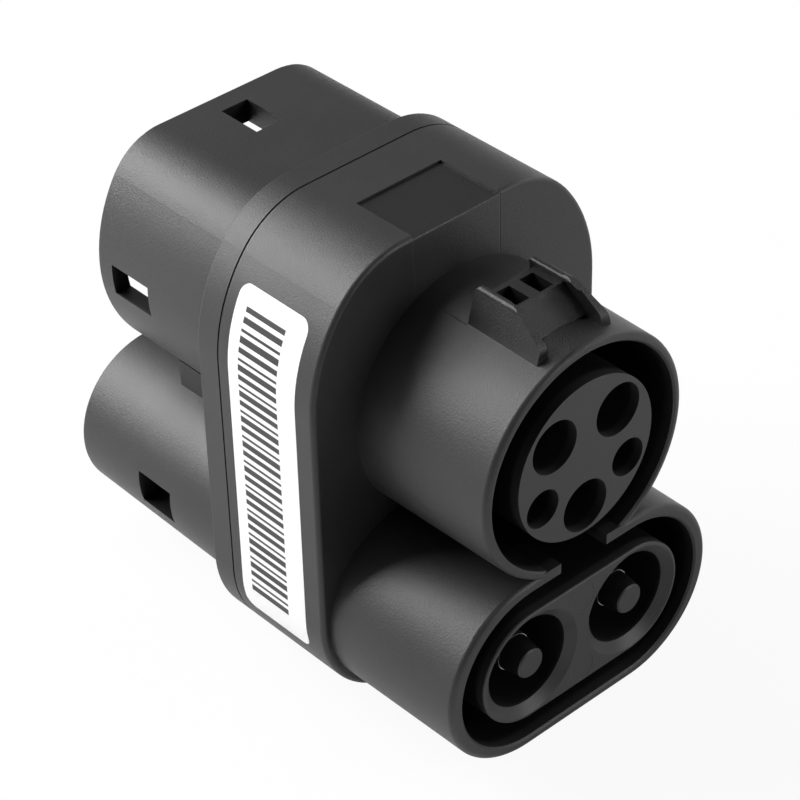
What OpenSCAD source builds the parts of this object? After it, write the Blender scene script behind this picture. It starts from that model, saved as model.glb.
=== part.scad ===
// Electric vehicle charging adapter with an inlet at the front and a plug at the back.
// The front has a round mouth for the AC contacts above a long mouth for the DC pins.
// The back has a D-shaped shroud above a long shroud, each with openings for a lock bolt.
// Bench frame: the round mouth's axis lies along Y at X = 0, Z = 0, and its rim is at Y = 0.
// The finished frame has its origin under the middle of the adapter, on the collar's flat foot.

/* [Collar] */
// Depth of the front mouths from their rims to the collar face
front_depth = 34; // [32:0.1:37]
// Thickness of the collar half that is moulded with the front mouths
collar_t = 27.1; // [26:0.1:32]
// Thickness of the rear flange, which closes the collar
flange_t = 5.9; // [5.6:0.1:7]
// Height of the collar's top above the round mouth's axis
collar_top = 37.7; // [36:0.1:42]
// Radius of the collar's two upper corners
collar_top_r = 20; // [18:0.1:24]
// How far the collar's sides stand out past the long mouth's wall
collar_side_margin = 1.65; // [1:0.05:2.5]
// Radius of the collar's side arcs, between its upper corners and its straight sides
collar_side_r = 35; // [33:0.1:36]
// Height of those arcs' centres above the round mouth's axis
collar_side_z = 8.3; // [7:0.1:10]
// How far the collar's foot reaches below the long mouth's wall
collar_margin = 3; // [2:0.1:5]
// Wall thickness of the collar
wall = 2.6; // [2:0.1:3]
// Rounding along the collar's front edge
collar_round = 1; // [0.6:0.1:2]
// Rounding along the flange's rear edge
flange_round = 0.3; // [0.2:0.1:0.6]
// Gap between the two housings, which the gasket fills
seam_gap = 0.4; // [0.3:0.05:0.8]
// Depth of the bare recessed panel on top of the collar
panel_depth = 0.5; // [0.3:0.1:1]
// Width of the recessed panel
panel_w = 21.4; // [12:0.1:21.4]
// Length of the recessed panel, from the collar's front face
panel_len = 15.8; // [8:0.1:20]

/* [Round front mouth] */
// Outer radius of the round mouth at its rim
ac_out_r = 25.7; // [25.4:0.1:26.5]
// How much the round barrel grows in radius from rim to collar, for mould release
ac_draft = 0.5; // [0:0.1:0.8]
// Inner radius of the round mouth
ac_in_r = 23.7; // [23.2:0.1:24]
// Radius of the contact holder inside the round mouth
ac_core_r = 17.4; // [17.3:0.05:18]
// Depth of both front mouths, down to their floor
mouth_depth = 34.8; // [33:0.1:37]
// Thickness of the mouths' floor
floor_t = 3; // [2.6:0.1:4]
// Rounding of the rims' outer edges
rim_round = 1.2; // [0.4:0.1:1.3]
// Break of the rims' inner edges
rim_break = 0.4; // [0.2:0.1:0.6]
// Radius of the three large contact wells
power_well_r = 5.65; // [5.4:0.05:5.7]
// Radius of the two small contact wells
pilot_well_r = 4.1; // [3.8:0.05:4.15]
// Sideways place of the two line wells
line_x = 8.2; // [7.9:0.1:8.6]
// Height of the two line wells above the axis
line_z = 7; // [6.8:0.1:7.4]
// Distance of the earth well below the axis
earth_drop = 11.1; // [10.8:0.1:11.4]
// Sideways place of the two pilot wells
pilot_x = 11.15; // [11:0.05:11.5]
// Distance of the two pilot wells below the axis
pilot_drop = 5.7; // [5.5:0.1:6]

/* [Long front mouth] */
// Distance of the DC contacts below the round mouth's axis
dc_drop = 42.6; // [42.2:0.1:44]
// Distance between the two DC contacts
dc_pitch = 27; // [26.6:0.1:28]
// Outer radius at the ends of the long mouth
dc_out_r = 20.45; // [20.2:0.05:21]
// Distance between the centres of those ends
dc_out_pitch = 28.6; // [27:0.1:29]
// How much the long barrel grows in radius from rim to collar, for mould release
dc_draft = 0.3; // [0:0.1:0.8]
// Inner radius at the ends of the long mouth
dc_in_r = 18.15; // [17.8:0.05:18.4]
// Radius at the ends of the contact holder inside the long mouth
dc_core_r = 12.85; // [12.7:0.05:13.2]
// Rounding of the long contact holder's outer edge
dc_core_round = 0.5; // [0.2:0.1:0.6]
// Radius of the two DC wells
dc_well_r = 10.1; // [9.8:0.05:10.3]
// Radius of the DC wells' chamfer at the face
dc_well_mouth_r = 12.1; // [11.4:0.1:12.2]
// Depth of the DC wells' chamfer
dc_chamfer_depth = 1.6; // [1:0.1:3]
// Width of the passage that joins the two mouths
neck_w = 12.2; // [10:0.1:14]
// Height of the passage's two sills above the round mouth's lowest point
sill_h = 2; // [1:0.1:2.4]

/* [Latch catch] */
// Distance of the catch's two toes behind the rim
catch_toe_y = 3.5; // [3:0.1:4.5]
// Distance of the catch's back behind the rim
catch_back_y = 21.4; // [21:0.1:26]
// Height of the two cheeks above the round mouth's axis
cheek_top = 31.7; // [31:0.1:33]
// Half the clear width between the cheeks beside the platform
cheek_in_x = 6.3; // [6:0.1:6.5]
// Widening of that clear half width in front of the platform
cheek_relief = 0.5; // [0.3:0.1:0.8]
// Half the width over the cheeks at their foot
cheek_foot_x = 9.4; // [9:0.1:10]
// Half the width over the cheeks at their top
cheek_top_x = 7.6; // [7.4:0.1:8.2]
// Height of the latch platform above the axis
platform_z = 29.9; // [29:0.1:30.5]
// Front edge of the latch platform
platform_y = 13; // [12:0.1:14]
// Length of the latch platform
platform_len = 7.3; // [6.8:0.1:7.6]
// Foot of the ramp that the latch rides up
ramp_foot_y = 7.3; // [7:0.1:9]
// Width of each core-out pocket in the platform
pocket_w = 3.45; // [2.5:0.05:4]
// Length of each core-out pocket
pocket_len = 5.4; // [4:0.1:6]
// Width of the bar between the two pockets
pocket_bar = 2.6; // [2:0.1:3.4]
// Depth of the pockets
pocket_depth = 4; // [2:0.1:4.5]

/* [Rear shrouds] */
// Depth of the D-shaped shroud behind the flange
ac_plug_depth = 36.2; // [35:0.1:40]
// Depth of the long shroud behind the flange
dc_plug_depth = 49.2; // [47:0.1:52]
// Half width of the D-shaped shroud
ac_plug_half_w = 32.5; // [31.8:0.1:32.8]
// Height of the D-shaped shroud's flat top above the front mouth's axis
ac_plug_top = 33.5; // [33:0.1:34]
// Radius of the D-shaped shroud's upper corners
ac_plug_corner_r = 14; // [12:0.1:16]
// Radius of the D-shaped shroud's side arcs, between those corners and the lower curve
ac_plug_side_r = 33.8; // [33:0.1:35]
// Height at which the D-shaped shroud is widest, above the front mouth's axis
ac_plug_wide_z = 8.5; // [7:0.1:10]
// Height of the rear contact circle's centre above the front mouth's axis
ac_plug_z = 7.6; // [7:0.1:8]
// Radius of the D-shaped shroud's lower curve
ac_plug_low_r = 29.9; // [29.4:0.1:30.4]
// Side wall of the D-shaped shroud
ac_plug_wall = 3.6; // [3.2:0.1:3.8]
// Top wall of the D-shaped shroud, thick enough for the lock bolt
ac_plug_top_wall = 5.1; // [4.5:0.1:5.2]
// Outer radius at the ends of the long rear shroud, at its open end
dc_plug_r = 18.7; // [18.4:0.1:19.5]
// How much the long rear shroud grows in radius towards the flange
dc_plug_draft = 0.8; // [0:0.1:1]
// Inner radius at the ends of the long rear shroud
dc_plug_in_r = 14.2; // [13.9:0.1:14.6]
// Rounding of the rear shrouds' end edges
plug_round = 0.4; // [0.3:0.1:1.2]
// Half width of the web in the groove between the rear shrouds
web_half_w = 19.5; // [17:0.1:21]
// Length of that web behind the flange
web_len = 30; // [24:0.1:34]

/* [Lock openings] */
// Distance of the top lock opening behind the flange
window_top_from = 20.3; // [18:0.1:21]
// Length of the top lock opening along the adapter
window_top_len = 10.8; // [9:0.1:12]
// Width of the lock opening in the flat top
window_top_w = 6.6; // [5.5:0.1:8]
// Distance of the D-shaped shroud's side lock openings behind the flange
window_side_from = 20.6; // [18:0.1:21]
// Length of the D-shaped shroud's side lock openings
window_side_len = 11.3; // [9:0.1:12]
// Height of the lock openings in the D-shaped shroud's sides
window_side_h = 6.9; // [5.5:0.1:8]
// Distance of those openings' middle below the rear contact circle's centre
window_side_drop = 0.6; // [0:0.1:2]
// Distance of the long shroud's lock openings behind the flange
window_low_from = 19.3; // [18:0.1:21]
// Length of the long shroud's lock openings
window_low_len = 10.5; // [9:0.1:12]
// Height of the lock openings in the long shroud's sides
window_low_h = 8; // [6:0.1:9]
// Distance of the long shroud's lock openings below the DC contacts
window_low_drop = 1.4; // [0:0.1:2]

/* [Rear contacts] */
// Radius of the circle that the rear power contacts stand on
plug_circle_r = 16; // [15.5:0.1:16.2]
// Sideways place of the two rear pilot contacts
plug_pilot_x = 6.8; // [6.4:0.1:7.2]
// Height of the rear pilot contacts above the rear circle's centre
plug_pilot_z = 10.8; // [10.4:0.1:11.2]
// Outer radius of the rear power tubes
power_tube_r = 5.3; // [5.2:0.05:5.4]
// Outer radius of the rear pilot tubes
pilot_tube_r = 3.8; // [3.6:0.05:3.9]
// Distance from the D-shaped shroud's end to its tubes
ac_tube_recess = 4.5; // [3:0.1:8]
// Outer radius of the two rear DC tubes
dc_tube_r = 9.6; // [9.3:0.05:9.8]
// Distance from the long shroud's end to its tubes
dc_tube_recess = 2; // [1:0.1:6]
// Wall of the small tubes
tube_wall = 1; // [0.8:0.05:1]
// Wall of the DC tubes
dc_tube_wall = 2.8; // [2.4:0.1:2.9]
// Thickness of the contact holders' base plates
base_t = 3.2; // [2.8:0.1:3.6]

/* [Contacts] */
// Radius of the DC pins
dc_pin_r = 4; // [3.9:0.05:4.05]
// Radius of the DC bars inside the collar
dc_bar_r = 6; // [5.6:0.1:6.2]
// Length of the insulating tips on the DC pins
tip_len = 4.9; // [4:0.1:7]
// Radius of the insulating tips at their flat face
tip_face_r = 3.25; // [2.8:0.05:3.4]
// Distance of the insulating tips behind the contact holder's face
tip_recess = 0.4; // [0.2:0.1:3]
// Radius of the line pins
line_pin_r = 1.8; // [1.7:0.05:1.85]
// Radius of the earth pin
earth_pin_r = 1.4; // [1.3:0.05:1.5]
// Radius of the pilot pins
pilot_pin_r = 0.75; // [0.7:0.05:0.85]
// Distance of the small pins' tips behind the contact holder's face
pin_recess = 8; // [6:0.1:14]
// Radius of the bore in the rear power sockets
power_socket_bore_r = 3.05; // [3:0.01:3.1]
// Radius of the bore in the rear pilot sockets
pilot_socket_bore_r = 1.55; // [1.5:0.01:1.6]
// Wall of the rear sockets
socket_wall = 1; // [0.8:0.05:1.05]
// Width of the slots that let a socket spring
socket_slot = 0.8; // [0.5:0.05:1]

/* [Label] */
// Width of the side label along the adapter
label_w = 19.1; // [14:0.1:19.6]
// Height of the label's upper edge above the round mouth's axis
label_top = 26.6; // [20:0.1:28]
// Distance of the label's lower edge below the axis
label_drop = 49.8; // [40:0.1:53]
// Distance of the label's front edge behind the collar face
label_from = 5.1; // [4.6:0.1:5.6]
// Thickness of the label
label_t = 0.15; // [0.1:0.01:0.25]
// Slant of the label on the collar's side, in degrees
label_slant = 0.2; // [0:0.1:1]

/* [Hidden] */
$fn = 96;

// Clearances between pieces that are fitted together
fit_gap = 0.1;
thread_gap = 0.05;
// Overreach of a cut past the face that it opens
over = 1;

// Stations along the adapter, counted from the rims
floor_y = mouth_depth + floor_t;
seam_y = front_depth + collar_t;
plug_y = seam_y + flange_t;
ac_end_y = plug_y + ac_plug_depth;
dc_end_y = plug_y + dc_plug_depth;
plate_y = plug_y - 3;
core_back_y = floor_y + base_t;
front_seam_y = seam_y - seam_gap / 2;
rear_seam_y = seam_y + seam_gap / 2;

// An outline is its half width, the lower arcs' height and radius, the side arcs' height and radius,
// the height of its flat top and the upper corners' radius
foot_r = dc_out_r + collar_margin;
foot_z = -dc_drop - foot_r;
collar_half_w = dc_out_pitch / 2 + dc_out_r + dc_draft + collar_side_margin;
collar = [collar_half_w, -dc_drop, foot_r, collar_side_z, collar_side_r, collar_top, collar_top_r];
ac_shroud = [ac_plug_half_w, ac_plug_wide_z, ac_plug_low_r, ac_plug_wide_z, ac_plug_side_r,
    ac_plug_top, ac_plug_corner_r];
function inset(s, side, top) = [s[0] - side, s[1], s[2] - side, s[3], s[4] - side, s[5] - top, s[6] - side];
ac_hollow = inset(ac_shroud, ac_plug_wall, ac_plug_top_wall);
// The corner's arc is sunk by this much at its joint with the side arc, and reaches past it by an angle
blend = 0.03;
blend_angle = 1;
// Centres of the lower arc, side arc and upper corner, and the angle at which the last two meet
function low_x(s) = s[0] - s[2];
function side_x(s) = s[0] - s[4];
function corner_z(s) = s[5] - s[6];
function corner_x(s) = side_x(s) + sqrt(pow(s[4] - s[6], 2) - pow(corner_z(s) - s[3], 2)) - blend;
function join_angle(s) = atan2(corner_z(s) - s[3], corner_x(s) - side_x(s));

// Places of the front contacts and rear contacts: line, neutral, earth, pilot, proximity
front_places = [[-line_x, line_z], [line_x, line_z], [0, -earth_drop],
    [pilot_x, -pilot_drop], [-pilot_x, -pilot_drop]];
rear_places = [[-plug_circle_r, ac_plug_z], [plug_circle_r, ac_plug_z], [0, ac_plug_z],
    [plug_pilot_x, ac_plug_z + plug_pilot_z], [-plug_pilot_x, ac_plug_z + plug_pilot_z]];
// The two blank tubes of the rear holder stand below the earth tube
blank_places = [for (s = [-1, 1]) [s * plug_circle_r / 2, ac_plug_z - plug_circle_r * sin(60)]];
function is_pilot(i) = i > 2;
function pin_radius(i) = i < 2 ? line_pin_r : (i == 2 ? earth_pin_r : pilot_pin_r);
function well_radius(i) = is_pilot(i) ? pilot_well_r : power_well_r;
function tube_radius(i) = is_pilot(i) ? pilot_tube_r : power_tube_r;
function bore_radius(i) = is_pilot(i) ? pilot_socket_bore_r : power_socket_bore_r;
function shank_radius(i) = pin_radius(i) + 0.3;
function wire_radius(i) = is_pilot(i) ? 1 : 1.6;

// Small screws that hold the contact holders, and long screws that hold the housings
core_screw_r = 1;
core_screw_len = 5.2;
core_screw_head_r = 1.7;
core_screw_head_t = 1.4;
core_flange_w = 3.8;
dc_flange_w = 3.35;
housing_screw_r = 1.5;
housing_screw_len = 20;
housing_screw_head_r = 2.8;
housing_screw_head_t = 2.2;
boss_r = 3.5;
// The lower pair stands in the groove between the rear shrouds, the upper pair inside the D-shaped one
groove_screw = [28.5, -19.5];
upper_screw = [22.5, 19.5];
housing_screw_places = [for (s = [-1, 1], p = [groove_screw, upper_screw]) [s * p[0], p[1]]];
ac_screw_circle = ac_core_r + core_flange_w / 2;
dc_screw_reach = (dc_core_r + dc_flange_w / 2 + 0.1) * sin(45);
ac_core_screws = [for (a = [45 : 90 : 315]) ac_screw_circle * [cos(a), sin(a)]];
dc_core_screws = [for (s = [-1, 1], t = [-1, 1])
    [s * (dc_pitch / 2 + dc_screw_reach), -dc_drop + t * dc_screw_reach]];
ac_base_screws = [for (s = [-1, 1], p = [[20.6, -11.9], [13, 17.3]]) [s * p[0], ac_plug_z + p[1]]];
dc_base_screws = [for (t = [-1, 1]) [0, -dc_drop + t * 10.2]];
spigot_r = plug_circle_r + 3.4;
dc_spigot_r = 8;

// Stations of the metal parts inside the collar
socket_tail_y = plate_y - 6.8;
// Distance between the level runs of the thick wires and of the thin ones
run_step = 4;
pin_tail_y = socket_tail_y - 2 * wire_radius(3) - run_step - 2 * wire_radius(0);
dc_joint_y = plate_y - 5.2;
dc_neck_r = dc_bar_r - 1;
seal_t = 1.6;
dc_flange_t = 3;
// How much thinner a wire's level run is than its ends
run_thin = 0.1;

// Turns a profile, drawn as radius and station, about an axis along Y
module turned(x = 0, z = 0) {
    translate([x, 0, z])
        rotate([-90, 0, 0])
            rotate_extrude()
                children();
}

// A plain round bar along Y
module rod(y, len, r, x = 0, z = 0) {
    translate([x, y, z])
        rotate([-90, 0, 0])
            cylinder(h = len, r = r);
}

// Extrudes a drawing in X and Z along Y
module along_y(y, len) {
    translate([0, y + len, 0])
        rotate([90, 0, 0])
            linear_extrude(len)
                children();
}

// A box given by its low corner and high corner
module block(low, high) {
    translate(low)
        cube(high - low);
}

// A long round-ended body with the given profile all round, drawn as radius and station
module long_turned(pitch = dc_pitch, z = -dc_drop) {
    for (s = [-1, 1])
        turned(s * pitch / 2, z)
            children();
    translate([pitch / 2, 0, z])
        rotate([0, -90, 0])
            linear_extrude(pitch) {
                children();
                mirror([1, 0])
                    children();
            }
}

// Long round-ended outline
module long_outline(r, pitch = dc_pitch, z = -dc_drop) {
    translate([0, z]) {
        for (s = [-1, 1])
            translate([s * pitch / 2, 0])
                circle(r);
        square([pitch, 2 * r], center = true);
    }
}

// Wedge of reach r between the angles a and b, with its point at a centre
module wedge(r, a, b) {
    m = (a + b) / 2;
    polygon([[0, 0], [r * cos(a), r * sin(a)], [r * cos(m), r * sin(m)], [r * cos(b), r * sin(b)]]);
}

// Sector of a disc of radius r about a centre
module sector(x, z, r, a, b) {
    translate([x, z])
        intersection() {
            circle(r);
            wedge(2 * r, a, b);
        }
}

// Outline of lower arcs, straight sides, side arcs and upper corners, with a flat top and a flat foot
module outline(s) {
    for (k = [0, 1])
        mirror([k, 0]) {
            sector(low_x(s), s[1], s[2], -90, 0);
            sector(side_x(s), s[3], s[4], 0, join_angle(s));
            sector(corner_x(s), corner_z(s), s[6], join_angle(s) - blend_angle, 90);
            translate([-over, s[1] - s[2]])
                square([low_x(s) + over, s[2] + over]);
            translate([-over, s[3]])
                square([corner_x(s) + over, s[5] - s[3]]);
            translate([-over, s[3]])
                square([corner_x(s) + 2 * over, corner_z(s) + over - s[3]]);
            if (s[3] > s[1])
                translate([-over, s[1]])
                    square([s[0] + over, s[3] - s[1]]);
        }
}

// Half section of a slab: radius r, thickness t, with its first edge rounded by f
module edge_profile(r, t, f) {
    square([r - f, t]);
    translate([0, f])
        square([r, t - f]);
    translate([r - f, f])
        circle(f, $fn = 16);
}

// Sector of a disc of radius r and thickness t, with its first edge rounded by f
module edge_sector(x, z, r, t, f, a, b) {
    intersection() {
        turned(x, z)
            edge_profile(r, t, f);
        along_y(-over, t + 2 * over)
            translate([x, z])
                wedge(2 * r, a, b);
    }
}

// Slab of that outline from Y = 0 to t, with its front edge rounded all round
module rounded_slab(s, t, f) {
    for (k = [0, 1])
        mirror([k, 0, 0]) {
            edge_sector(low_x(s), s[1], s[2], t, f, -90, 0);
            edge_sector(side_x(s), s[3], s[4], t, f, 0, join_angle(s));
            edge_sector(corner_x(s), corner_z(s), s[6], t, f, join_angle(s) - blend_angle, 90);
            if (s[3] > s[1])
                translate([0, 0, s[1]])
                    linear_extrude(s[3] - s[1])
                        edge_profile(s[0], t, f);
        }
    block([-low_x(s) - over, 0, s[1] - over], [low_x(s) + over, t, s[3] + over]);
    block([-corner_x(s) - over, 0, s[3]], [corner_x(s) + over, t, corner_z(s) + over]);
    translate([corner_x(s), 0, corner_z(s)])
        rotate([0, -90, 0])
            linear_extrude(2 * corner_x(s))
                edge_profile(s[6], t, f);
    translate([low_x(s), 0, s[1]])
        rotate([0, -90, 0])
            linear_extrude(2 * low_x(s))
                mirror([1, 0])
                    edge_profile(s[2], t, f);
}

// Turns a body about, so that its rounded edge faces the rear end at station y
module facing_back(y) {
    translate([0, y, 0])
        mirror([0, 1, 0])
            children();
}

// Brings a piece from the bench frame to the finished frame
module in_frame() {
    translate([0, -dc_end_y / 2, -foot_z])
        children();
}

// Section of a barrel of length len, rounded by f at its open end and drafted towards the collar
module barrel_profile(r, draft, len, f) {
    polygon([[0, 0], [r - f, 0], [r - f, f], [r, f], [r + draft, len], [0, len]]);
    translate([r - f, f])
        circle(f, $fn = 16);
}

// Section of a front mouth's hollow, with its inner rim broken
module hollow_profile(r) {
    polygon([[0, -over], [r + rim_break, -over], [r + rim_break, 0], [r, rim_break],
        [r, mouth_depth], [0, mouth_depth]]);
}

// Side view of the catch's cheeks, drawn as station and height
module cheek_side() {
    toe_r = 2;
    toe_z = cheek_top - 5.9;
    polygon([[catch_toe_y, 0], [catch_toe_y, toe_z], [catch_toe_y + toe_r * 0.47, toe_z + toe_r * 0.85],
        [platform_y - 2.6, cheek_top - 0.45], [platform_y - 1.9, cheek_top - 0.15], [platform_y - 1, cheek_top],
        [catch_back_y - 0.8, cheek_top], [catch_back_y, cheek_top - 0.8], [catch_back_y, 0]]);
    translate([catch_toe_y + toe_r, toe_z])
        circle(toe_r, $fn = 32);
}

// Front view of the right cheek: its outer face leans in, and its outer top edge is rounded
module cheek_front(in_x) {
    top_r = 0.8;
    polygon([[in_x, 0], [cheek_foot_x, 0], [cheek_foot_x, ac_out_r - 1.5], [cheek_top_x, cheek_top - top_r],
        [cheek_top_x - top_r, cheek_top], [in_x, cheek_top]]);
    translate([cheek_top_x - top_r, cheek_top - top_r])
        circle(top_r, $fn = 32);
}

// Extrudes a side view, drawn as station and height, across half the catch
module across(half_w) {
    translate([half_w, 0, 0])
        rotate([0, -90, 0])
            linear_extrude(2 * half_w)
                mirror([1, 0])
                    rotate(90)
                        children();
}

// The fixed catch that the vehicle plug's latch hooks on
module catch_body() {
    intersection() {
        across(cheek_foot_x + over)
            cheek_side();
        for (k = [0, 1])
            mirror([k, 0, 0]) {
                along_y(platform_y, catch_back_y)
                    cheek_front(cheek_in_x);
                along_y(0, platform_y)
                    cheek_front(cheek_in_x + cheek_relief);
            }
    }
    across(cheek_in_x + cheek_relief)
        polygon([[ramp_foot_y, ac_out_r - 1.7], [ramp_foot_y, ac_out_r - 0.1], [platform_y, platform_z],
            [platform_y + platform_len, platform_z], [platform_y + platform_len, ac_out_r - 1.7]]);
}

// The two square core-outs in the latch platform
module catch_pockets() {
    middle = platform_y + platform_len / 2 - 0.3;
    for (s = [-1, 1])
        translate([s * (pocket_bar + pocket_w) / 2, middle, platform_z])
            cube([pocket_w, pocket_len, 2 * pocket_depth], center = true);
}

// Plan of the label, drawn as station and height, with round corners
module label_plan(grow = 0) {
    r = 2.4;
    h = label_top + label_drop;
    translate([front_depth + label_from + label_w / 2, (label_top - label_drop) / 2])
        rotate(label_slant) {
            square([label_w + 2 * grow, h - 2 * r], center = true);
            square([label_w - 2 * r, h + 2 * grow], center = true);
            for (a = [-1, 1], b = [-1, 1])
                translate([a * (label_w / 2 - r), b * (h / 2 - r)])
                    circle(r + grow, $fn = 32);
        }
}

// Thin skin of the collar's left side under the label plan
module label_skin(grow = 0) {
    intersection() {
        along_y(front_depth, collar_t)
            difference() {
                outline(collar);
                outline(inset(collar, label_t, label_t));
            }
        translate([-collar_half_w - over, 0, 0])
            rotate([90, 0, 90])
                linear_extrude(collar_half_w)
                    label_plan(grow);
    }
}

// Moulded front housing: collar half, both mouths and the latch catch in one piece
module front_housing() {
    color("#3c3c3d") in_frame() {
        difference() {
            union() {
                translate([0, front_depth, 0])
                    rounded_slab(collar, front_seam_y - front_depth, collar_round);
                turned()
                    barrel_profile(ac_out_r, ac_draft, front_depth + over, rim_round);
                long_turned(dc_out_pitch)
                    barrel_profile(dc_out_r, dc_draft, front_depth + over, rim_round);
                catch_body();
            }
            difference() {
                turned()
                    hollow_profile(ac_in_r);
                block([-ac_in_r, -2 * over, -ac_in_r - over], [ac_in_r, mouth_depth + over, sill_h - ac_in_r]);
            }
            long_turned()
                hollow_profile(dc_in_r);
            block([-neck_w / 2, -over, dc_in_r - dc_drop - over], [neck_w / 2, mouth_depth, -ac_in_r + 3 * over]);
            along_y(floor_y, seam_y)
                outline(inset(collar, wall, wall));
            rod(mouth_depth - over, floor_t + 2 * over, ac_core_r + fit_gap);
            along_y(mouth_depth - over, floor_t + 2 * over)
                long_outline(dc_core_r + fit_gap);
            for (p = concat(ac_core_screws, dc_core_screws))
                rod(core_back_y - core_screw_len - fit_gap, core_screw_len, core_screw_r + thread_gap, p[0], p[1]);
            catch_pockets();
            block([-panel_w / 2, front_depth - over, collar_top - panel_depth],
                [panel_w / 2, front_depth + panel_len, collar_top + over]);
            label_skin(fit_gap / 2);
        }
        for (p = housing_screw_places)
            difference() {
                rod(floor_y - over / 2, rear_seam_y - floor_y + over / 2, boss_r, p[0], p[1]);
                rod(plug_y - housing_screw_len - fit_gap, housing_screw_len, housing_screw_r + thread_gap, p[0], p[1]);
            }
    }
}

// Moulded rear housing: flange, D-shaped shroud and long shroud with their lock openings
module rear_housing() {
    color("#3a3a3b") in_frame() difference() {
        union() {
            facing_back(plug_y)
                rounded_slab(collar, plug_y - rear_seam_y, flange_round);
            facing_back(ac_end_y)
                rounded_slab(ac_shroud, ac_plug_depth + over, plug_round);
            facing_back(dc_end_y)
                long_turned()
                    barrel_profile(dc_plug_r, dc_plug_draft, dc_plug_depth + over, plug_round);
            block([-web_half_w, plug_y - over, dc_plug_r - dc_drop - 2 * over],
                [web_half_w, plug_y + web_len, ac_plug_wide_z - ac_plug_low_r + 3 * over]);
        }
        along_y(plug_y, ac_plug_depth + over)
            outline(ac_hollow);
        along_y(plug_y, dc_plug_depth + over)
            long_outline(dc_plug_in_r);
        difference() {
            along_y(rear_seam_y - over, plate_y - rear_seam_y + over)
                outline(inset(collar, wall, wall));
            for (p = housing_screw_places)
                rod(rear_seam_y, flange_t, boss_r, p[0], p[1]);
        }
        rod(plate_y - over, flange_t, spigot_r + fit_gap, 0, ac_plug_z);
        for (s = [-1, 1])
            rod(plate_y - over, flange_t, dc_spigot_r + fit_gap, s * dc_pitch / 2, -dc_drop);
        for (p = housing_screw_places)
            rod(rear_seam_y - over, flange_t + 2 * over, housing_screw_r + fit_gap, p[0], p[1]);
        for (p = concat(ac_base_screws, dc_base_screws))
            rod(plate_y + over / 2, flange_t, core_screw_r + thread_gap, p[0], p[1]);
        lock_openings();
    }
}

// The openings through the shroud walls that a lock bolt enters
module lock_openings() {
    side_z = ac_plug_z - window_side_drop;
    low_z = -dc_drop - window_low_drop;
    translate([-window_top_w / 2, plug_y + window_top_from, ac_plug_top - ac_plug_top_wall - over])
        cube([window_top_w, window_top_len, ac_plug_top_wall + 2 * over]);
    for (k = [0, 1])
        mirror([k, 0, 0]) {
            translate([ac_plug_half_w - ac_plug_wall - 2 * over, plug_y + window_side_from, side_z - window_side_h / 2])
                cube([ac_plug_wall + 4 * over, window_side_len, window_side_h]);
            translate([dc_pitch / 2 + dc_plug_in_r - 2 * over, plug_y + window_low_from, low_z - window_low_h / 2])
                cube([dc_plug_r, window_low_len, window_low_h]);
        }
}

// Rubber gasket in the seam between the two housings
module seam_gasket() {
    color("#141414") in_frame()
        along_y(front_seam_y + thread_gap / 2, seam_gap - thread_gap)
            difference() {
                outline(inset(collar, 0.6, 0.6));
                outline(inset(collar, wall - 0.2, wall - 0.2));
            }
}

// Printed label on the collar's left side, laid in a shallow recess
module side_label() {
    color("#f4f4f2") in_frame()
        label_skin();
}

// Contact holder of the round mouth, put in from behind and screwed to the floor
module ac_inlet_core() {
    color("#4a4a4b") in_frame() difference() {
        union() {
            rod(0, core_back_y, ac_core_r);
            rod(floor_y, base_t, ac_core_r + core_flange_w);
        }
        for (i = [0 : 4]) {
            rod(-over, mouth_depth + over, well_radius(i), front_places[i][0], front_places[i][1]);
            rod(mouth_depth - over, 3 * base_t, shank_radius(i) + thread_gap, front_places[i][0], front_places[i][1]);
        }
        for (p = ac_core_screws)
            rod(floor_y - over, base_t + 2 * over, core_screw_r + thread_gap, p[0], p[1]);
    }
}

// Contact holder of the long mouth, with two chamfered wells
module dc_inlet_core() {
    color("#4a4a4b") in_frame() difference() {
        union() {
            long_turned()
                edge_profile(dc_core_r, core_back_y, dc_core_round);
            along_y(floor_y, base_t)
                long_outline(dc_core_r + dc_flange_w);
        }
        for (s = [-1, 1]) {
            turned(s * dc_pitch / 2, -dc_drop)
                polygon([[0, -over], [dc_well_mouth_r, -over], [dc_well_mouth_r, 0],
                    [dc_well_r, dc_chamfer_depth], [dc_well_r, mouth_depth], [0, mouth_depth]]);
            rod(mouth_depth - over, 3 * base_t, dc_neck_r + thread_gap, s * dc_pitch / 2, -dc_drop);
        }
        for (p = dc_core_screws)
            rod(floor_y - over, base_t + 2 * over, core_screw_r + thread_gap, p[0], p[1]);
    }
}

// Rear contact holder of the D-shaped shroud: base plate, spigot and seven tubes
module ac_plug_core() {
    base_back_y = plug_y + base_t;
    tube_len = ac_end_y - ac_tube_recess - plug_y;
    color("#454546") in_frame() difference() {
        union() {
            along_y(plug_y, base_t)
                outline(inset(ac_hollow, fit_gap, fit_gap));
            rod(plate_y, 3, spigot_r, 0, ac_plug_z);
            for (i = [0 : 4])
                rod(plug_y, tube_len, tube_radius(i), rear_places[i][0], rear_places[i][1]);
            for (p = blank_places)
                rod(plug_y, tube_len, power_tube_r, p[0], p[1]);
        }
        for (i = [0 : 4]) {
            rod(base_back_y, tube_len, tube_radius(i) - tube_wall, rear_places[i][0], rear_places[i][1]);
            rod(plate_y - over, 3 * base_t, bore_radius(i) + thread_gap, rear_places[i][0], rear_places[i][1]);
        }
        for (p = blank_places)
            rod(base_back_y, tube_len, power_tube_r - tube_wall, p[0], p[1]);
        for (s = [-1, 1])
            rod(plug_y - over, base_t + 2 * over, housing_screw_head_r + fit_gap, s * upper_screw[0], upper_screw[1]);
        for (p = ac_base_screws)
            rod(plug_y - over, base_t + 2 * over, core_screw_r + thread_gap, p[0], p[1]);
    }
}

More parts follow.
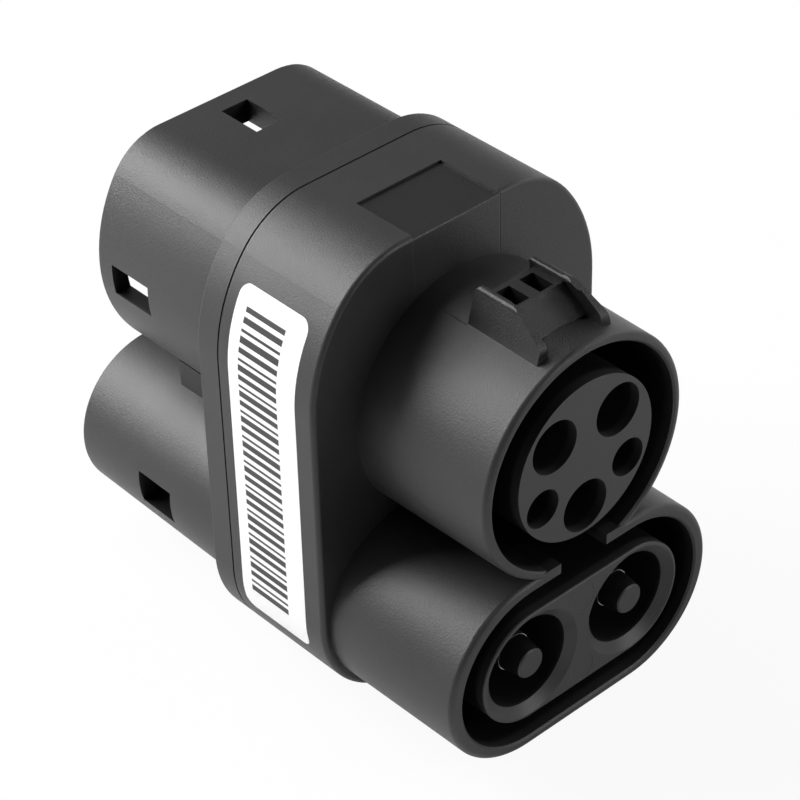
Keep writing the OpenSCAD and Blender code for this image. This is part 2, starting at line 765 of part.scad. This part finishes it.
// Rear contact holder of the long shroud: base plate, two spigots and two wide tubes
module dc_plug_core() {
    base_back_y = plug_y + base_t;
    tube_len = dc_end_y - dc_tube_recess - plug_y;
    color("#454546") in_frame() difference() {
        union() {
            along_y(plug_y, base_t)
                long_outline(dc_plug_in_r - fit_gap);
            for (s = [-1, 1]) {
                rod(plate_y, 3 + over, dc_spigot_r, s * dc_pitch / 2, -dc_drop);
                facing_back(plug_y + tube_len)
                    turned(s * dc_pitch / 2, -dc_drop)
                        edge_profile(dc_tube_r, tube_len, plug_round);
            }
        }
        for (s = [-1, 1]) {
            rod(base_back_y, tube_len, dc_tube_r - dc_tube_wall, s * dc_pitch / 2, -dc_drop);
            rod(plate_y - over, 3 * base_t, dc_neck_r + thread_gap, s * dc_pitch / 2, -dc_drop);
        }
        for (p = dc_base_screws)
            rod(plug_y - over, base_t + 2 * over, core_screw_r + thread_gap, p[0], p[1]);
    }
}

// Turned and plated DC pin: spigot for the tip, shaft, neck, stop flange, bar and stud
module dc_pin(x) {
    tip_end = tip_recess + tip_len;
    seat = core_back_y + seal_t;
    stud_r = dc_bar_r / 2;
    color("#c9cbce") in_frame()
        turned(x, -dc_drop)
            polygon([[0, tip_end - 3.4], [dc_pin_r / 2, tip_end - 3.4], [dc_pin_r / 2, tip_end],
                [dc_pin_r, tip_end], [dc_pin_r, mouth_depth - 0.2], [dc_neck_r, mouth_depth - 0.2],
                [dc_neck_r, seat], [dc_bar_r + 2, seat], [dc_bar_r + 2, seat + dc_flange_t],
                [dc_bar_r, seat + dc_flange_t], [dc_bar_r, dc_joint_y], [stud_r, dc_joint_y],
                [stud_r, dc_joint_y + 7.4], [0, dc_joint_y + 7.4]]);
}

// Insulating tip that keeps fingers off a DC pin
module dc_tip(x) {
    tip_end = tip_recess + tip_len;
    edge = 0.3;
    color("#2b2b2c") in_frame()
        turned(x, -dc_drop)
            polygon([[0, tip_recess], [tip_face_r - edge, tip_recess], [tip_face_r, tip_recess + edge],
                [dc_pin_r - fit_gap, tip_end], [dc_pin_r / 2 + thread_gap, tip_end],
                [dc_pin_r / 2 + thread_gap, tip_end - 3.5], [0, tip_end - 3.5]]);
}

// Turned rear DC socket: threaded neck towards the pin, slotted barrel towards the vehicle
module dc_socket(x) {
    base_back_y = plug_y + base_t;
    barrel_r = dc_tube_r - dc_tube_wall - 0.3;
    mouth_y = dc_end_y - dc_tube_recess - 3;
    bore_y = base_back_y + 4;
    color("#c9cbce") in_frame() difference() {
        turned(x, -dc_drop)
            polygon([[dc_bar_r / 2 + thread_gap, dc_joint_y], [dc_neck_r, dc_joint_y],
                [dc_neck_r, plate_y - 1.2], [dc_neck_r - 0.6, plate_y - 1.2], [dc_neck_r - 0.6, plate_y],
                [dc_neck_r, plate_y], [dc_neck_r, base_back_y], [barrel_r, base_back_y],
                [barrel_r, mouth_y - 0.6], [barrel_r - 0.6, mouth_y], [dc_pin_r + 0.6, mouth_y],
                [dc_pin_r + 0.08, mouth_y - 0.6], [dc_pin_r + 0.08, bore_y], [0, bore_y],
                [0, dc_joint_y + 7.6], [dc_bar_r / 2 + thread_gap, dc_joint_y + 7.6]]);
        translate([x, mouth_y - 10, -dc_drop])
            for (a = [45, 135])
                rotate([0, a, 0])
                    translate([-dc_tube_r, 0, -socket_slot / 2])
                        cube([2 * dc_tube_r, 10 + over, socket_slot]);
    }
}

// Rubber rings between the DC pins' flanges and their holder
module dc_pin_seals() {
    color("#202020") in_frame()
        for (s = [-1, 1])
            turned(s * dc_pitch / 2, -dc_drop)
                translate([dc_neck_r + seal_t / 2 + fit_gap, core_back_y + seal_t / 2])
                    circle(seal_t / 2, $fn = 32);
}

// Spring clips that hold the rear DC sockets in their holder
module dc_socket_clips() {
    color("#8d8f92") in_frame()
        for (s = [-1, 1])
            difference() {
                rod(plate_y - 1.1, 1, dc_neck_r + 1.5, s * dc_pitch / 2, -dc_drop);
                rod(plate_y - 2, 3, dc_neck_r - 0.55, s * dc_pitch / 2, -dc_drop);
                block([s * dc_pitch / 2 - 1.5, plate_y - 2, -dc_drop - 3 * dc_neck_r],
                    [s * dc_pitch / 2 + 1.5, plate_y + over, -dc_drop]);
            }
}

// One small front pin: round tip, shaft, shank through the holder, stop collar and crimp tail
module contact_pin(i) {
    r = pin_radius(i);
    shank_r = shank_radius(i);
    tail_r = wire_radius(i) + 0.6;
    color("#c9cbce") in_frame()
        turned(front_places[i][0], front_places[i][1]) {
            intersection() {
                translate([0, pin_recess + r])
                    circle(r, $fn = 48);
                translate([0, pin_recess])
                    square([r, 2 * r]);
            }
            polygon([[0, pin_recess + r], [r, pin_recess + r], [r, mouth_depth - 0.2],
                [shank_r, mouth_depth - 0.2], [shank_r, core_back_y], [tail_r + 0.5, core_back_y],
                [tail_r + 0.5, core_back_y + 1.4], [tail_r, core_back_y + 1.4],
                [tail_r, pin_tail_y], [0, pin_tail_y]]);
        }
}

// One rear socket: crimp tail, neck through the holder and slotted barrel
module contact_socket(i) {
    bore = bore_radius(i);
    barrel_r = bore + socket_wall;
    base_back_y = plug_y + base_t;
    mouth_y = ac_end_y - ac_tube_recess - 1.5;
    x = rear_places[i][0];
    z = rear_places[i][1];
    color("#c9cbce") in_frame() difference() {
        union() {
            rod(socket_tail_y, base_back_y - socket_tail_y, bore, x, z);
            rod(base_back_y, mouth_y - base_back_y, barrel_r, x, z);
        }
        rod(base_back_y + 3, mouth_y, bore, x, z);
        translate([x - barrel_r - over, mouth_y - 9, z - socket_slot / 2])
            cube([2 * (barrel_r + over), 9 + over, socket_slot]);
    }
}

// One insulated wire from a front pin to its rear socket: its level run is a little thinner than its ends
module contact_wire(i, tint) {
    r = wire_radius(i);
    a = front_places[i];
    b = rear_places[i];
    y = is_pilot(i) ? socket_tail_y - 2 * r : pin_tail_y + 2 * r;
    run = norm(b - a);
    color(tint) in_frame() {
        rod(pin_tail_y, y + r - pin_tail_y, r, a[0], a[1]);
        rod(y - r, socket_tail_y + r - y, r, b[0], b[1]);
        translate([a[0], y, a[1]])
            rotate([0, atan2(b[0] - a[0], b[1] - a[1]), 0])
                cylinder(h = run, r = r - run_thin);
    }
}

// Small circuit board with the proximity resistor, lying on the rear housing's plate
module proximity_board() {
    board_t = 1.6;
    edge = collar_half_w - wall - 2;
    color("#2e6b3c") in_frame() {
        block([-edge, plate_y - board_t, -12], [-edge + 9.5, plate_y, 6]);
        block([-edge + 2.5, plate_y - board_t - 1.8, -7], [-edge + 7, plate_y - board_t, 1]);
    }
}

// Thermal cut-out held between the two DC bars, on a leg from the long contact holder
module thermal_switch() {
    half_w = dc_pitch / 2 - dc_bar_r - fit_gap;
    flange_end = core_back_y + seal_t + dc_flange_t;
    color("#6b6257") in_frame() {
        block([-half_w, flange_end + 0.4, -dc_drop - 3.5], [half_w, dc_joint_y - 1.6, -dc_drop + 3.5]);
        block([-4, core_back_y, -dc_drop - 3.5], [4, flange_end + 0.4, -dc_drop + 3.5]);
    }
}

// A screw along Y: its head lies behind station y and its shank runs forward from there
module screw(y, len, r, head_r, head_t, x, z) {
    difference() {
        union() {
            rod(y - len, len + head_t / 2, r, x, z);
            rod(y, head_t, head_r, x, z);
        }
        rod(y + head_t / 2, head_t, head_r * 0.45, x, z, $fn = 6);
    }
}

// Small screws that hold the four contact holders
module core_screws() {
    color("#9a9c9f") in_frame() {
        for (p = concat(ac_core_screws, dc_core_screws))
            screw(core_back_y, core_screw_len, core_screw_r, core_screw_head_r, core_screw_head_t, p[0], p[1]);
        for (p = concat(ac_base_screws, dc_base_screws))
            screw(plug_y + base_t, core_screw_len, core_screw_r, core_screw_head_r, core_screw_head_t, p[0], p[1]);
    }
}

// Long screws that hold the rear housing to the front housing's bosses
module housing_screws() {
    color("#9a9c9f") in_frame()
        for (p = housing_screw_places)
            screw(plug_y, housing_screw_len, housing_screw_r, housing_screw_head_r, housing_screw_head_t, p[0], p[1]);
}

front_housing();
rear_housing();
seam_gasket();
side_label();
ac_inlet_core();
dc_inlet_core();
ac_plug_core();
dc_plug_core();
dc_pin(-dc_pitch / 2);  // dc_pin_left
dc_pin(dc_pitch / 2);  // dc_pin_right
dc_tip(-dc_pitch / 2);  // dc_tip_left
dc_tip(dc_pitch / 2);  // dc_tip_right
dc_socket(-dc_pitch / 2);  // dc_socket_left
dc_socket(dc_pitch / 2);  // dc_socket_right
dc_pin_seals();
dc_socket_clips();
contact_pin(0);  // pin_line
contact_pin(1);  // pin_neutral
contact_pin(2);  // pin_earth
contact_pin(3);  // pin_pilot
contact_pin(4);  // pin_proximity
contact_socket(0);  // socket_line
contact_socket(1);  // socket_neutral
contact_socket(2);  // socket_earth
contact_socket(3);  // socket_pilot
contact_socket(4);  // socket_proximity
contact_wire(0, "#7a4a2a");  // wire_line
contact_wire(1, "#2f5fa8");  // wire_neutral
contact_wire(2, "#4c8a3a");  // wire_earth
contact_wire(3, "#c9b23a");  // wire_pilot
contact_wire(4, "#b8b8b4");  // wire_proximity
proximity_board();
thermal_switch();
core_screws();
housing_screws();
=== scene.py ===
import math

import bpy
from mathutils import Matrix, Vector

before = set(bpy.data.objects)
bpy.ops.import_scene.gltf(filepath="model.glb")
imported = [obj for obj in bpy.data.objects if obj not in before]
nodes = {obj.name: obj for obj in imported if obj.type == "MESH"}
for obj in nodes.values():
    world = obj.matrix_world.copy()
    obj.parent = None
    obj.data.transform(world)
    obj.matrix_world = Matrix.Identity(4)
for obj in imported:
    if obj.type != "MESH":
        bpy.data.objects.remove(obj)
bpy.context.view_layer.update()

# The studio.
# A white table in a white surround. A broad key of four soft boxes stands behind and above,
# and three weak ones fill the front and the right.

MM = 0.001
# From the bench frame of the part's source to this frame: half the length, and the foot's depth
BENCH_Y = -58.1
BENCH_Z = 66.05


def bench(x, y, z):
    """A point given in millimetres from the round mouth's centre, as the part's source gives it."""
    return Vector((x, y + BENCH_Y, z + BENCH_Z)) * MM


def placed(name, data):
    """Puts a camera, a lamp or a mesh into the studio as an object."""
    made = bpy.data.objects.new(name, data)
    bpy.context.collection.objects.link(made)
    return made


CAMERA_AT = bench(-298.415, -286.313, 324.416)
CAMERA_RIGHT = Vector((0.73747, -0.67499, -0.02290))
CAMERA_UP = Vector((0.41921, 0.43090, 0.79911))
CAMERA_LENS = 128.24
CAMERA_SENSOR = 36
CAMERA_NEAR = 0.02
CAMERA_FAR = 20

camera_data = bpy.data.cameras.new("studio_camera")
camera_data.lens = CAMERA_LENS
camera_data.sensor_width = CAMERA_SENSOR
camera_data.clip_start = CAMERA_NEAR
camera_data.clip_end = CAMERA_FAR
camera = placed("studio_camera", camera_data)
right = CAMERA_RIGHT.normalized()
back = right.cross(CAMERA_UP).normalized()
up = back.cross(right)
turn = Matrix((right, up, back)).transposed().to_4x4()
camera.matrix_world = Matrix.Translation(CAMERA_AT) @ turn
bpy.context.scene.camera = camera
bpy.context.scene.view_settings.view_transform = "Standard"

LAMPS_AIM = bench(0, 58.1, -15)
LAMP_DISTANCE = 1.0
LAMP_SIDE = 0.35
# Each soft box has a name, the direction in which it stands, seen from the adapter, and its watts
SOFT_BOXES = (
    ("key_right", (-0.3, 0.9, 0.6), 6.1),
    ("key_left", (-0.8, 0.9, 0.5), 5.8),
    ("key_high", (-0.65, 0.75, 0.85), 3.0),
    ("key_top", (-0.1, 0.6, 1.0), 1.9),
    ("front_box", (0.5, -1.0, 0.4), 2.6),
    ("right_box", (1.0, -0.3, 0.5), 1.8),
    ("far_box", (1.0, 0.3, 0.3), 0.75),
)


def soft_box(name, toward, watts):
    """A square lamp that faces the adapter's middle from the given direction."""
    lamp = bpy.data.lights.new(name, "AREA")
    lamp.shape = "SQUARE"
    lamp.size = LAMP_SIDE
    lamp.energy = watts
    held = placed(name, lamp)
    away = Vector(toward).normalized()
    held.location = LAMPS_AIM + away * LAMP_DISTANCE
    held.rotation_mode = "QUATERNION"
    held.rotation_quaternion = away.to_track_quat("Z", "Y")


for box in SOFT_BOXES:
    soft_box(*box)

# Share of a drawn line's half width over which it keeps its full strength
LINE_CORE = 0.4


class Field:
    """One socket of a node tree, which Python's own sums can be written with."""

    def __init__(self, tree, socket=None):
        self.tree = tree
        self.socket = socket

    def node(self, kind, settings=None, output=0, **values):
        """Adds a node: its settings, then the values or links of its sockets. Gives one output."""
        made = self.tree.nodes.new("ShaderNode" + kind)
        for name, value in (settings or {}).items():
            setattr(made, name, value)
        for name, value in values.items():
            place = int(name[1:]) if name[1:].isdigit() else name.replace("_", " ")
            if isinstance(value, Field):
                self.tree.links.new(value.socket, made.inputs[place])
            else:
                made.inputs[place].default_value = value
        return Field(self.tree, made.outputs[output] if made.outputs else None)

    def maths(self, operation, *terms):
        return self.node("Math", {"operation": operation}, **{f"n{i}": t for i, t in enumerate(terms)})

    def __add__(self, other):
        return self.maths("ADD", self, other)

    __radd__ = __add__

    def __sub__(self, other):
        return self.maths("SUBTRACT", self, other)

    def __rsub__(self, other):
        return self.maths("SUBTRACT", other, self)

    def __mul__(self, other):
        return self.maths("MULTIPLY", self, other)

    __rmul__ = __mul__

    def __mod__(self, other):
        return self.maths("FLOORED_MODULO", self, other)

    def __pow__(self, other):
        return self.maths("POWER", self, other)

    def __abs__(self):
        return self.maths("ABSOLUTE", self)

    def __gt__(self, other):
        return self.maths("GREATER_THAN", self, other)

    def __lt__(self, other):
        return self.maths("LESS_THAN", self, other)

    def sine(self):
        return self.maths("SINE", self)

    def larger(self, other):
        return self.maths("MAXIMUM", self, other)

    def smaller(self, other):
        return self.maths("MINIMUM", self, other)

    def between(self, low, high):
        """1 where the field lies between two values, and 0 elsewhere."""
        return (self > low) * (self < high)

    def step(self, low, high):
        """Rises smoothly from 0 at low to 1 at high, or falls where low is the larger."""
        smooth = {"interpolation_type": "SMOOTHSTEP"}
        return self.node("MapRange", smooth, Value=self, From_Min=low, From_Max=high)

    def line(self, at, half_width):
        """1 along a thin line where the field has the given value."""
        return 1 - abs(self - at).step(half_width * LINE_CORE, half_width)

    def blend(self, first, second):
        """The first colour where the field is 0, and the second where it is 1."""
        return self.node("MixRGB", Fac=self, n1=first, n2=second)

    def clouds(self, per_metre, detail=3.0, roughness=0.5):
        """Smooth noise from 0 to 1 over a place, with about so many patches to the metre."""
        return self.node("TexNoise", Vector=self, Scale=per_metre, Detail=detail, Roughness=roughness)

    def bump(self):
        """The normal of a surface that stands proud by the field, in metres."""
        return self.node("Bump", Strength=1.0, Distance=1.0, Height=self)


WHITE = (1, 1, 1, 1)
SURROUND_LIGHT = 0.013
SURROUND_GLOSS = 0.3


def shown_rays(field):
    """1 for rays from the camera and through glass, and a share of it for rays from gloss."""
    seen = field.node("LightPath", output="Is Camera Ray")
    gloss = field.node("LightPath", output="Is Glossy Ray") * SURROUND_GLOSS
    through = field.node("LightPath", output="Is Transmission Ray")
    return seen.larger(gloss).larger(through)


white = bpy.data.worlds.new("white_surround")
bpy.context.scene.world = white
white.use_nodes = True
white.node_tree.nodes.clear()
sky = Field(white.node_tree)
level = shown_rays(sky) * (1 - SURROUND_LIGHT) + SURROUND_LIGHT
sky.node("OutputWorld", Surface=sky.node("Background", Color=WHITE, Strength=level))

TABLE_HALF = 3.0
TABLE_TONE = (0.9, 0.9, 0.9, 1)
TABLE_GLOW = 0.93
table_mesh = bpy.data.meshes.new("table")
corners = [(x * TABLE_HALF, y * TABLE_HALF, 0) for x, y in ((-1, -1), (1, -1), (1, 1), (-1, 1))]
table_mesh.from_pydata(corners, [], [(0, 1, 2, 3)])
table = placed("table", table_mesh)
table_white = bpy.data.materials.new("table_white")
table_white.use_nodes = True
table_white.node_tree.nodes.clear()
top = Field(table_white.node_tree)
pale = top.node("BsdfDiffuse", Color=TABLE_TONE)
glow = top.node("Emission", Color=WHITE, Strength=1.0)
seen_table = shown_rays(top) * TABLE_GLOW
top.node("OutputMaterial", Surface=top.node("MixShader", Fac=seen_table, n1=pale, n2=glow))
table_mesh.materials.append(table_white)


# The housings.
# Two glass-filled charcoal mouldings with a fine moulded grain, held together by long screws.
# The mould's slides left faint witness lines, and a smoother skin on the catch and the panel.

PLASTIC = (0.022, 0.022, 0.0225, 1)
PALE_PLASTIC = (0.026, 0.026, 0.0265, 1)
SMOOTH_PLASTIC = (0.009, 0.009, 0.0092, 1)
# Painted shade: the tone painted on plastic deep inside an opening, where hardly any light reaches it
SHADE = (0.005, 0.005, 0.005, 1)
PATCHES_PER_M = 60.0
PATCH_FADE = (0.3, 0.75)
# Roughness of the skin, what its patches add to it, and what the smoother places take from it
SKIN_ROUGHNESS = 0.39
PATCH_ROUGHNESS = 0.08
CATCH_POLISH = 0.1
PANEL_POLISH = 0.15
# The grain and the witness lines, with heights and depths in metres
GRAIN_PER_M = 3000
GRAIN_CRISPNESS = 0.7
GRAIN_HEIGHT = 0.00007
CATCH_EXTRA_HEIGHT = 0.00006
WITNESS_DEPTH = 0.00016

# Witness lines: how far from the middle they run, and half their width, in millimetres
SLIDE_LINE = (11.0, 0.16)
PARTING_LINE = (9.7, 0.14)
# Zones with soft edges, in bench millimetres: a distance, where the zone is 0, where it is 1
FACE_ZONE = (("along", 33.7, 33.9), ("along", 34.5, 34.3), ("ring", 26.6, 27.0), ("up", 20, 22))
BARREL_ZONE = (("along", 29.4, 29.0), ("along", 21.2, 21.5), ("up", 23, 23.4), ("ring", 27, 26.8))
CATCH_ZONE = (("along", 22.2, 21.8), ("across", 10.2, 9.6), ("up", 24.6, 25.2))
PANEL_ZONE = (
    ("across", 10.72, 10.68),
    ("along", 33.9, 34.0),
    ("along", 49.85, 49.75),
    ("up", 37.0, 37.1),
    ("up", 37.5, 37.4),
)
# The mouths' bores: the round one, then the long one's half spacing, drop and end radius,
# then where the painted shade on their walls fades in and where they end
ROUND_BORE = 23.9
LONG_HALF = 13.5
LONG_DROP = 42.6
LONG_BORE = 18.3
MOUTH_SHADE_FADE = (1.8, 3.2)
MOUTH_END = 35
# The walls of the lock openings, painted with shade: their ends across, along and up
LOCK_OPENINGS = (
    ((28.5, 31.7), (87.5, 99.0), (3.5, 10.5)),
    ((-3.4, 3.4), (87.2, 98.2), (28.2, 33.3)),
    ((27.5, 31.7), (86.2, 96.9), (-48.1, -39.9)),
)


def coordinates(field):
    """The object's own place in metres, and its three parts in bench millimetres."""
    place = field.node("TexCoord", output="Object")
    x, y, z = [field.node("SeparateXYZ", output=i, Vector=place) * (1 / MM) for i in range(3)]
    return place, x, y - BENCH_Y, z - BENCH_Z


def surface(name, look):
    """Makes a material: look gets its empty tree and gives the sockets of one Principled BSDF."""
    made = bpy.data.materials.new(name)
    made.use_nodes = True
    made.node_tree.nodes.clear()
    field = Field(made.node_tree)
    field.node("OutputMaterial", Surface=field.node("BsdfPrincipled", **look(field)))
    return made


def grain(place, height, relief=0):
    """Moulded grain of a height in metres as a normal, with any drawn relief added to it."""
    fine = place.clouds(GRAIN_PER_M, roughness=GRAIN_CRISPNESS)
    return ((fine - 0.5) * height + relief).bump()


def zone(spot, edges):
    """1 inside a zone and 0 outside, with the soft edges that are given."""
    inside = 1
    for distance, low, high in edges:
        inside = inside * spot[distance].step(low, high)
    return inside


def housing_look(field):
    place, x, y, z = coordinates(field)
    across = abs(x)
    ring = (x * x + z * z) ** 0.5
    spot = {"across": across, "along": y, "up": z, "ring": ring}
    witness = across.line(*SLIDE_LINE) * zone(spot, FACE_ZONE)
    witness = witness + across.line(*PARTING_LINE) * zone(spot, BARREL_ZONE)
    catch = zone(spot, CATCH_ZONE)
    panel = zone(spot, PANEL_ZONE)
    patches = place.clouds(PATCHES_PER_M)
    tone = patches.step(*PATCH_FADE).blend(PLASTIC, PALE_PLASTIC)
    tone = catch.larger(panel).blend(tone, SMOOTH_PLASTIC)
    out = (across - LONG_HALF).larger(0)
    low = z + LONG_DROP
    bored = (ring < ROUND_BORE).larger((out * out + low * low) ** 0.5 < LONG_BORE)
    # Painted shade on the walls deep inside the mouths and the lock openings
    painted_shade = bored * y.step(*MOUTH_SHADE_FADE) * (y < MOUTH_END)
    for sides, ends, heights in LOCK_OPENINGS:
        painted_shade = painted_shade + across.between(*sides) * y.between(*ends) * z.between(*heights)
    polish = catch * CATCH_POLISH + panel * PANEL_POLISH
    return {
        "Base_Color": painted_shade.smaller(1).blend(tone, SHADE),
        "Roughness": SKIN_ROUGHNESS + patches * PATCH_ROUGHNESS - polish,
        "Normal": grain(place, GRAIN_HEIGHT + catch * CATCH_EXTRA_HEIGHT, witness * -WITNESS_DEPTH),
    }


def dress(material, *names):
    """Puts a finish on CAD nodes whose shape is right as it is."""
    for name in names:
        for slot in nodes[name].material_slots:
            slot.material = material


housing = surface("charcoal_housing", housing_look)
dress(housing, "front_housing", "rear_housing")


# The seam's gasket.
# A flat ring of black rubber, pressed between the two housings and seen only as a dark line.
# The rings that seal the DC pins are of the same rubber.

RUBBER = (0.008, 0.008, 0.008, 1)
RUBBER_GRAIN = 0.000008


def rubber_look(field):
    place, *_ = coordinates(field)
    return {
        "Base_Color": RUBBER,
        "Roughness": 0.8,
        "Normal": grain(place, RUBBER_GRAIN),
    }


rubber = surface("gasket_rubber", rubber_look)
dress(rubber, "seam_gasket", "dc_pin_seals")


# The side label.
# A white film stuck in a shallow recess of the collar's left side. It carries a ladder of
# plain grey bars in a repeating pattern of three widths, and a bare margin at its front.

FILM = (0.95, 0.95, 0.945, 1)
INK = (0.03, 0.03, 0.032, 1)
WEAR_PER_M = 900.0
WEAR_HEIGHT = 0.000004
BAR_FROM_Z = -44.0
BAR_TO_Z = 23.0
BAR_FROM_Y = 44.3
BAR_TO_Y = 55.3
BAR_PITCH = 6.0
BAR_SPANS = ((0.0, 1.4), (2.2, 2.8), (3.9, 5.1))
LABEL_MIDDLE_Z = -12
LABEL_SLANT = math.tan(math.radians(0.2))


def label_look(field):
    place, _, y, z = coordinates(field)
    level_y = y + (z - LABEL_MIDDLE_Z) * LABEL_SLANT
    run = (z - BAR_FROM_Z) % BAR_PITCH
    bars = 0
    for low, high in BAR_SPANS:
        bars = bars + run.between(low, high)
    ladder = z.between(BAR_FROM_Z, BAR_TO_Z) * level_y.between(BAR_FROM_Y, BAR_TO_Y)
    wear = place.clouds(WEAR_PER_M, detail=2.0)
    return {
        "Base_Color": (bars * ladder).blend(FILM, INK),
        "Roughness": 0.42 + wear * 0.08,
        "Normal": (wear * WEAR_HEIGHT).bump(),
    }


label = surface("label_film", label_look)
dress(label, "side_label")


# The contact holders.
# Four smooth mouldings of a slightly paler grey, screwed in from behind. The long front one
# shows two faint round marks, where the mould's ejector pins pushed it out.

HOLDER = (0.03, 0.03, 0.031, 1)
HOLDER_PATCHES_PER_M = 80.0
HOLDER_GRAIN = 0.000018
# Painted shade down the front holders' wells: where it fades in, and the place along behind which it
# stops
WELL_SHADE_FADE = (1.6, 2.6)
REAR_HOLDERS_Y = 60
# The ejector marks: their places across and up, the edge of each, and the face that they are in
EJECTOR_MARKS = ((0, -34.0), (0, -51.7))
EJECTOR_EDGE = (3.05, 2.9)
EJECTOR_FACE = (0.6, 0.4)


def holder_look(field):
    place, x, y, z = coordinates(field)
    marks = 0
    for mark_x, mark_z in EJECTOR_MARKS:
        away = ((x - mark_x) * (x - mark_x) + (z - mark_z) * (z - mark_z)) ** 0.5
        marks = marks + away.step(*EJECTOR_EDGE)
    marks = marks * y.step(*EJECTOR_FACE)
    patches = place.clouds(HOLDER_PATCHES_PER_M)
    # Painted shade down the front holders' wells; the rear holders get none
    painted_shade = y.step(*WELL_SHADE_FADE) * (y < REAR_HOLDERS_Y)
    return {
        "Base_Color": painted_shade.blend(HOLDER, SHADE),
        "Roughness": 0.43 + patches * 0.07,
        "Normal": grain(place, HOLDER_GRAIN, marks * -WITNESS_DEPTH),
    }


holder = surface("holder_plastic", holder_look)
dress(holder, "ac_inlet_core", "dc_inlet_core", "ac_plug_core", "dc_plug_core")


# The contacts.
# Pins and sockets turned from copper alloy and plated with silver, with fine turning marks
# round them. The DC pins end in pressed-on tips of grey plastic that keep fingers off.

SILVER = (0.80, 0.80, 0.79, 1)
TARNISH_PER_M = 300.0
TURNING_PER_MM = 9.0
TURNING_HEIGHT = 0.000001
CONTACTS = ("line", "neutral", "earth", "pilot", "proximity")


def plated_look(field):
    place, _, y, _ = coordinates(field)
    return {
        "Base_Color": SILVER,
        "Metallic": 1.0,
        "Roughness": 0.2 + place.clouds(TARNISH_PER_M) * 0.12,
        "Normal": ((y * TURNING_PER_MM).sine() * TURNING_HEIGHT).bump(),
    }


plated = surface("silver_plate", plated_look)
dress(plated, "dc_pin_left", "dc_pin_right", "dc_socket_left", "dc_socket_right")
for name in CONTACTS:
    dress(plated, "pin_" + name, "socket_" + name)

TIP = (0.026, 0.026, 0.027, 1)
# Painted shade on the tips' sides: where it fades in behind their front faces, in millimetres along
TIP_SHADE_FADE = (0.5, 0.9)
PLAIN_GRAIN = 0.000006


def tip_look(field):
    place, _, y, _ = coordinates(field)
    # The tips' faces keep their grey, and their sides get painted shade
    return {
        "Base_Color": y.step(*TIP_SHADE_FADE).blend(TIP, SHADE),
        "Roughness": 0.42,
        "Normal": grain(place, PLAIN_GRAIN),
    }


tip = surface("tip_plastic", tip_look)
dress(tip, "dc_tip_left", "dc_tip_right")


# The parts inside the collar.
# Insulated wires, a proximity board, a sealed thermal switch, spring clips and zinc-plated
# screws. All of them but the rear screws' heads are closed in.

WIRES = {
    "line": (0.16, 0.065, 0.03, 1),
    "neutral": (0.03, 0.09, 0.33, 1),
    "earth": (0.06, 0.22, 0.04, 1),
    "pilot": (0.55, 0.42, 0.03, 1),
    "proximity": (0.6, 0.6, 0.58, 1),
}
LACQUER = (0.02, 0.12, 0.04, 1)
SWITCH_CASE = (0.09, 0.07, 0.05, 1)
ZINC = (0.6, 0.61, 0.62, 1)


def plain_look(colour, roughness, metallic=0.0):
    def look(field):
        place, *_ = coordinates(field)
        return {
            "Base_Color": colour,
            "Metallic": metallic,
            "Roughness": roughness,
            "Normal": grain(place, PLAIN_GRAIN),
        }

    return look


for name, colour in WIRES.items():
    dress(surface("insulation_" + name, plain_look(colour, roughness=0.5)), "wire_" + name)
dress(surface("board_lacquer", plain_look(LACQUER, roughness=0.35)), "proximity_board")
dress(surface("switch_case", plain_look(SWITCH_CASE, roughness=0.6)), "thermal_switch")
zinc = surface("zinc_plate", plain_look(ZINC, roughness=0.32, metallic=1.0))
dress(zinc, "dc_socket_clips", "core_screws", "housing_screws")
